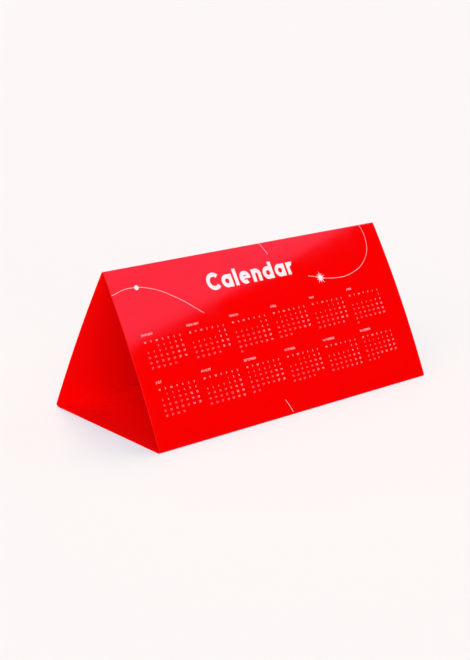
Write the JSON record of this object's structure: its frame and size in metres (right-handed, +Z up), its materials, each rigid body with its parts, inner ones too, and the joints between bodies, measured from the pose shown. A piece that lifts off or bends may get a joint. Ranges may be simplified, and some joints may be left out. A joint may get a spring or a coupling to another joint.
{
  "type": "tent desk calendar",
  "caption": "Three-sided desk calendar folded from one creased sheet of red card and closed by a taped flap, with a year of months printed on its front.",
  "frame": {"origin": "middle of the footprint, on the desk", "axes": "+X along the ridge towards the right end as the reader sees it, -Y towards the reader, +Z up"},
  "size_m": [0.21, 0.099, 0.0905],
  "materials": {
    "printed_card": "gloss laminate over card dyed red right through",
    "folded_card": "gloss laminate over a creased fold in dyed red card",
    "plain_card": "gloss laminate over card dyed red right through",
    "adhesive_tape": "clear double-sided film"
  },
  "bodies": {
    "base": {"base_panel": "plain_card", "front_crease": "folded_card"},
    "front": {"front_panel": "printed_card", "ridge_crease": "folded_card"},
    "back": {"back_panel": "printed_card", "rear_crease": "folded_card"},
    "flap": {"glue_flap": "plain_card", "adhesive_strip": "adhesive_tape"}
  },
  "joints": [
    {"name": "front_fold", "type": "hinge", "parent": "base", "child": "front", "pos_m": [0, -0.0493, 0.00048], "axis": [1, 0, 0], "range_deg": [0, 114.18], "deforming": ["front_crease"]},
    {"name": "ridge_fold", "type": "hinge", "parent": "front", "child": "back", "pos_m": [0, 0.00001, 0.09045], "axis": [1, 0, 0], "range_deg": [0, 115.14], "deforming": ["ridge_crease"]},
    {"name": "flap_fold", "type": "hinge", "parent": "back", "child": "flap", "pos_m": [0, 0.04931, 0.00099], "axis": [1, 0, 0], "range_deg": [0, 116.13], "deforming": ["rear_crease"]}
  ],
  "couplings": [
    {"joint": "flap_fold", "follows": "ridge_fold", "ratio": 1.0086}
  ]
}
